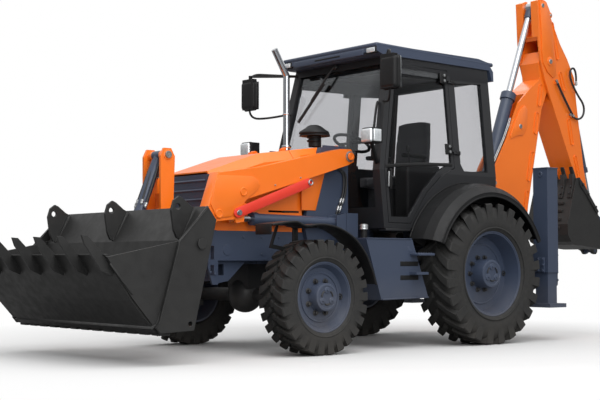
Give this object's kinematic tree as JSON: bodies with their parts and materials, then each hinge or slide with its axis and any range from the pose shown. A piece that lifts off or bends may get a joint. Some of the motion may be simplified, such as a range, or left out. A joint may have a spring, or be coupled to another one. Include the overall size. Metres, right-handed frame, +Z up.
{
  "type": "backhoe loader",
  "caption": "Backhoe loader: wheeled tractor with cab, clam-type front bucket on lift arms, side-shift backhoe on the rear and vertical stabilizers.",
  "frame": {"origin": "middle of the footprint of the whole machine, on the ground", "axes": "+Z up, -Y forward (towards the front bucket), +X to the machine's left"},
  "size_m": [2.396, 7.8034, 3.8691],
  "materials": {
    "orange_paint": "gloss",
    "grey_paint": "satin",
    "bucket_paint": "satin",
    "black_paint": "satin",
    "red_paint": "gloss",
    "tyre_rubber": "matte",
    "black_plastic": "matte",
    "bright_chrome": "polished",
    "cab_panes": "clear",
    "seat_cloth": "matte",
    "lamp_plastic": "gloss"
  },
  "bodies": {
    "chassis": {"main_frame": "grey_paint", "engine_block": "black_paint", "loader_towers": "grey_paint", "hood_body": "orange_paint", "grille": "grey_paint", "exhaust": "bright_chrome", "air_intake": "black_plastic", "cab_frame": "black_paint", "cab_glass": "cab_panes", "roof": "grey_paint", "seat_pads": "seat_cloth", "dash": "black_plastic", "rear_fenders": "black_plastic", "side_tanks": "grey_paint", "headlamps": "lamp_plastic", "mirrors": "black_plastic", "axle_front": "black_paint", "axle_rear": "black_paint", "rear_frame": "grey_paint", "seat_base": "black_paint"},
    "knuckle_l": {"knuckle_l": "black_paint", "fender_front_l": "black_plastic"},
    "wheel_fl": {"tyre_fl": "tyre_rubber", "rim_fl": "grey_paint"},
    "knuckle_r": {"knuckle_r": "black_paint", "fender_front_r": "black_plastic"},
    "wheel_fr": {"tyre_fr": "tyre_rubber", "rim_fr": "grey_paint"},
    "wheel_rl": {"tyre_rl": "tyre_rubber", "rim_rl": "grey_paint"},
    "wheel_rr": {"tyre_rr": "tyre_rubber", "rim_rr": "grey_paint"},
    "arms": {"loader_arms": "orange_paint", "safety_strut": "red_paint"},
    "bucket": {"loader_bucket": "bucket_paint"},
    "clam": {"clam": "bucket_paint"},
    "lift_barrels": {"lift_barrels": "black_paint"},
    "lift_rods": {"lift_rods": "bright_chrome"},
    "tilt_barrel": {"tilt_barrel": "black_paint"},
    "tilt_rod": {"tilt_rod": "bright_chrome"},
    "door_l": {"door_l": "black_paint", "door_glass_l": "cab_panes"},
    "door_r": {"door_r": "black_paint", "door_glass_r": "cab_panes"},
    "hood_lid": {"hood_lid": "orange_paint"},
    "carriage": {"carriage": "grey_paint"},
    "swing": {"swing_post": "grey_paint"},
    "boom": {"boom": "orange_paint"},
    "dipper": {"dipper": "orange_paint"},
    "hoe_bucket": {"hoe_bucket": "bucket_paint"},
    "boom_barrel": {"boom_barrel": "grey_paint"},
    "boom_rod": {"boom_rod": "bright_chrome"},
    "crowd_barrel": {"crowd_barrel": "grey_paint"},
    "crowd_rod": {"crowd_rod": "bright_chrome"},
    "guide_lever": {"guide_lever": "grey_paint"},
    "bucket_link": {"bucket_link": "grey_paint"},
    "bucket_barrel": {"bucket_barrel": "grey_paint"},
    "bucket_rod": {"bucket_rod": "bright_chrome"},
    "stabilizer_l": {"stabilizer_l": "grey_paint"},
    "stabilizer_r": {"stabilizer_r": "grey_paint"}
  },
  "joints": [
    {"name": "steer_l", "type": "hinge", "parent": "chassis", "child": "knuckle_l", "pos_m": [0.844, -1.49171, 0.50406], "axis": [0, 0, 1], "range_deg": [-28, 28]},
    {"name": "wheel_fl_roll", "type": "hinge", "parent": "knuckle_l", "child": "wheel_fl", "pos_m": [0.958, -1.49171, 0.50406], "axis": [1, 0, 0], "continuous": true},
    {"name": "steer_r", "type": "hinge", "parent": "chassis", "child": "knuckle_r", "pos_m": [-0.844, -1.49171, 0.50406], "axis": [0, 0, 1], "range_deg": [-28, 28]},
    {"name": "wheel_fr_roll", "type": "hinge", "parent": "knuckle_r", "child": "wheel_fr", "pos_m": [-0.958, -1.49171, 0.50406], "axis": [1, 0, 0], "continuous": true},
    {"name": "wheel_rl_roll", "type": "hinge", "parent": "chassis", "child": "wheel_rl", "pos_m": [0.928, 0.70829, 0.69506], "axis": [1, 0, 0], "continuous": true},
    {"name": "wheel_rr_roll", "type": "hinge", "parent": "chassis", "child": "wheel_rr", "pos_m": [-0.928, 0.70829, 0.69506], "axis": [1, 0, 0], "continuous": true},
    {"name": "arm_lift", "type": "hinge", "parent": "chassis", "child": "arms", "pos_m": [0, -0.67971, 1.81006], "axis": [-1, 0, 0], "range_deg": [-4, 60]},
    {"name": "bucket_tilt", "type": "hinge", "parent": "arms", "child": "bucket", "pos_m": [0, -2.67671, 0.47106], "axis": [1, 0, 0], "range_deg": [0, 45]},
    {"name": "clam_open", "type": "hinge", "parent": "bucket", "child": "clam", "pos_m": [0, -2.86571, 0.95206], "axis": [-1, 0, 0], "range_deg": [0, 75]},
    {"name": "lift_barrel_turn", "type": "hinge", "parent": "chassis", "child": "lift_barrels", "pos_m": [0, -0.78171, 1.18106], "axis": [1, 0, 0], "range_deg": [-54.9, 3.8]},
    {"name": "lift_rod_slide", "type": "slide", "parent": "lift_barrels", "child": "lift_rods", "axis": [0, -0.9999, 0.0124], "range_m": [-0.0462, 0.63706]},
    {"name": "tilt_barrel_turn", "type": "hinge", "parent": "arms", "child": "tilt_barrel", "pos_m": [0, -2.48671, 1.75306], "axis": [1, 0, 0], "range_deg": [-22.3, 0.1]},
    {"name": "tilt_rod_slide", "type": "slide", "parent": "tilt_barrel", "child": "tilt_rod", "axis": [0, -0.3551, -0.9348], "range_m": [-0.004, 0.39165]},
    {"name": "door_l_open", "type": "hinge", "parent": "chassis", "child": "door_l", "pos_m": [0.79339, 0.51029, 1.90106], "axis": [-0.0977, 0, 0.9952], "range_deg": [0, 80]},
    {"name": "door_r_open", "type": "hinge", "parent": "chassis", "child": "door_r", "pos_m": [-0.79339, 0.51029, 1.90106], "axis": [-0.0977, 0, -0.9952], "range_deg": [0, 80]},
    {"name": "hood_open", "type": "hinge", "parent": "chassis", "child": "hood_lid", "pos_m": [0, -1.23871, 1.87106], "axis": [-1, 0, 0], "range_deg": [0, 50]},
    {"name": "side_shift", "type": "slide", "parent": "chassis", "child": "carriage", "axis": [1, 0, 0], "range_m": [-0.5, 0.5]},
    {"name": "swing_turn", "type": "hinge", "parent": "carriage", "child": "swing", "pos_m": [0, 2.10829, 0.76106], "axis": [0, 0, 1], "range_deg": [-90, 90]},
    {"name": "boom_lower", "type": "hinge", "parent": "swing", "child": "boom", "pos_m": [0, 2.29829, 0.80106], "axis": [-1, 0, 0], "range_deg": [0, 75]},
    {"name": "dipper_crowd", "type": "hinge", "parent": "boom", "child": "dipper", "pos_m": [0, 2.84129, 3.14606], "axis": [1, 0, 0], "range_deg": [0, 90]},
    {"name": "hoe_bucket_curl", "type": "hinge", "parent": "dipper", "child": "hoe_bucket", "pos_m": [0, 3.60829, 1.14106], "axis": [1, 0, 0], "range_deg": [0, 120]},
    {"name": "boom_barrel_turn", "type": "hinge", "parent": "swing", "child": "boom_barrel", "pos_m": [0, 2.00829, 1.09306], "axis": [1, 0, 0], "range_deg": [-76, 0.1]},
    {"name": "boom_rod_slide", "type": "slide", "parent": "boom_barrel", "child": "boom_rod", "axis": [0, 0.2519, 0.9677], "range_m": [-0.004, 0.51566]},
    {"name": "crowd_barrel_turn", "type": "hinge", "parent": "boom", "child": "crowd_barrel", "pos_m": [0, 1.88829, 1.69106], "axis": [1, 0, 0], "range_deg": [-0.1, 13.6]},
    {"name": "crowd_rod_slide", "type": "slide", "parent": "crowd_barrel", "child": "crowd_rod", "axis": [0, 0.3683, 0.9297], "range_m": [-0.8461, 0.004]},
    {"name": "guide_lever_turn", "type": "hinge", "parent": "dipper", "child": "guide_lever", "pos_m": [0, 3.50411, 1.49736], "axis": [1, 0, 0], "range_deg": [-0.1, 69.1]},
    {"name": "bucket_link_turn", "type": "hinge", "parent": "hoe_bucket", "child": "bucket_link", "pos_m": [0, 3.78277, 0.95084], "axis": [1, 0, 0], "range_deg": [-121.6, 0.1]},
    {"name": "bucket_barrel_turn", "type": "hinge", "parent": "dipper", "child": "bucket_barrel", "pos_m": [0, 3.39629, 2.88906], "axis": [1, 0, 0], "range_deg": [-0.1, 6.9]},
    {"name": "bucket_rod_slide", "type": "slide", "parent": "bucket_barrel", "child": "bucket_rod", "axis": [0, 0.279, -0.9603], "range_m": [-0.43754, 0.004]},
    {"name": "stabilizer_l_down", "type": "slide", "parent": "chassis", "child": "stabilizer_l", "axis": [0, 0, -1], "range_m": [0, 0.33]},
    {"name": "stabilizer_r_down", "type": "slide", "parent": "chassis", "child": "stabilizer_r", "axis": [0, 0, -1], "range_m": [0, 0.33]}
  ],
  "couplings": [
    {"joint": "steer_r", "follows": "steer_l", "ratio": 1},
    {"joint": "lift_barrel_turn", "follows": "arm_lift", "ratio": -0.91284},
    {"joint": "lift_rod_slide", "follows": "arm_lift", "m_per_rad": 0.60452},
    {"joint": "tilt_barrel_turn", "follows": "bucket_tilt", "ratio": -0.49294},
    {"joint": "tilt_rod_slide", "follows": "bucket_tilt", "m_per_rad": 0.49358},
    {"joint": "boom_barrel_turn", "follows": "boom_lower", "ratio": -1.0114},
    {"joint": "boom_rod_slide", "follows": "boom_lower", "m_per_rad": 0.39088},
    {"joint": "crowd_barrel_turn", "follows": "dipper_crowd", "ratio": 0.14967},
    {"joint": "crowd_rod_slide", "follows": "dipper_crowd", "m_per_rad": -0.5361},
    {"joint": "guide_lever_turn", "follows": "hoe_bucket_curl", "ratio": 0.57436},
    {"joint": "bucket_link_turn", "follows": "hoe_bucket_curl", "ratio": -1.0122},
    {"joint": "bucket_barrel_turn", "follows": "hoe_bucket_curl", "ratio": 0.056345},
    {"joint": "bucket_rod_slide", "follows": "hoe_bucket_curl", "m_per_rad": -0.207}
  ]
}
